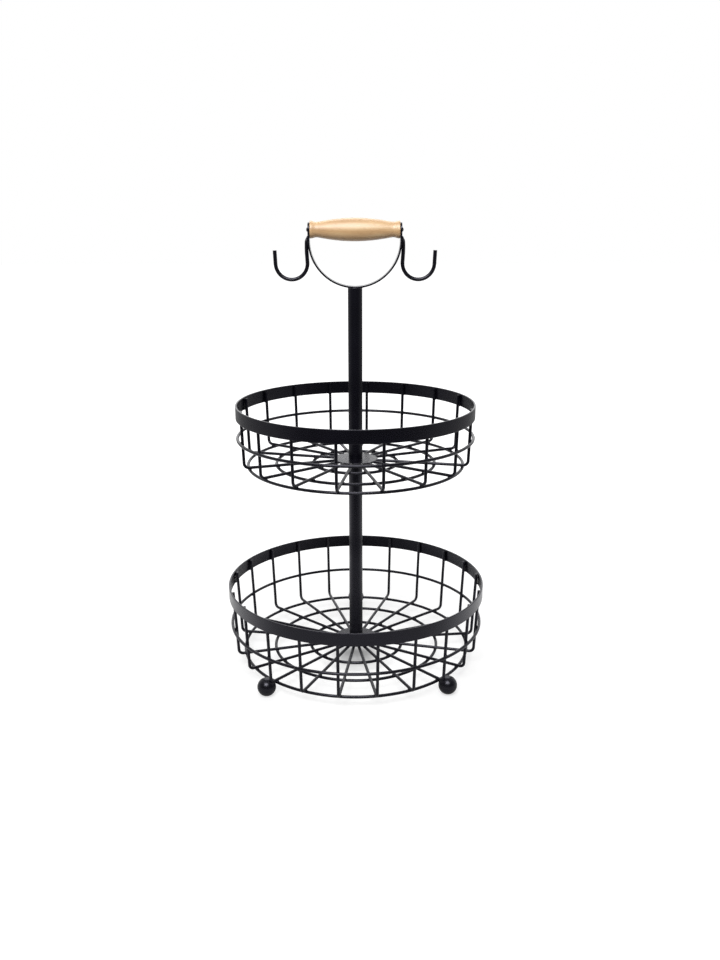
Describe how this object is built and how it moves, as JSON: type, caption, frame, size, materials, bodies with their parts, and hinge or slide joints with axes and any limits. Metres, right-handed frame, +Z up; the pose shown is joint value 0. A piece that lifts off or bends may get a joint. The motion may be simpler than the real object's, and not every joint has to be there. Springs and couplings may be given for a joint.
{
  "type": "tiered wire basket",
  "caption": "Stand of round wire baskets on a central pole, one above the other, with ball feet, a bow with a turning wooden grip and a hook at each side of it.",
  "frame": {"origin": "on the floor, on the pole's axis", "axes": "+Z up along the pole, +X to the right and +Y to the back as seen in the picture"},
  "size_m": [0.28, 0.2835, 0.4753],
  "materials": {
    "coated_steel": "satin black powder coat",
    "foot_ball": "satin black",
    "pin_steel": "satin black",
    "zinc_steel": "zinc plated",
    "grip_wood": "oiled"
  },
  "bodies": {
    "stand": {"lower_rim_band": "coated_steel", "lower_ribs": "coated_steel", "lower_mid_ring": "coated_steel", "lower_base_ring_outer": "coated_steel", "lower_base_ring_middle": "coated_steel", "lower_base_ring_inner": "coated_steel", "lower_centre_disc": "coated_steel", "upper_rim_band": "coated_steel", "upper_ribs": "coated_steel", "upper_mid_ring": "coated_steel", "upper_base_ring_outer": "coated_steel", "upper_base_ring_middle": "coated_steel", "upper_base_ring_inner": "coated_steel", "upper_centre_disc": "coated_steel", "lower_pole": "coated_steel", "upper_pole": "coated_steel", "bow_strap": "coated_steel", "left_hook": "coated_steel", "right_hook": "coated_steel", "grip_pin": "pin_steel", "grip_pin_cap": "pin_steel", "foot_front_left": "foot_ball", "foot_front_right": "foot_ball", "foot_back": "foot_ball", "lower_pole_foot_insert": "zinc_steel", "lower_pole_head_insert": "zinc_steel", "upper_pole_foot_insert": "zinc_steel", "joining_stud": "zinc_steel", "base_bolt": "zinc_steel", "base_washer": "zinc_steel"},
    "grip": {"wood_grip": "grip_wood"}
  },
  "joints": [
    {"name": "grip_spin", "type": "hinge", "parent": "stand", "child": "grip", "pos_m": [0, 0, 0.46392], "axis": [1, 0, 0], "continuous": true}
  ]
}
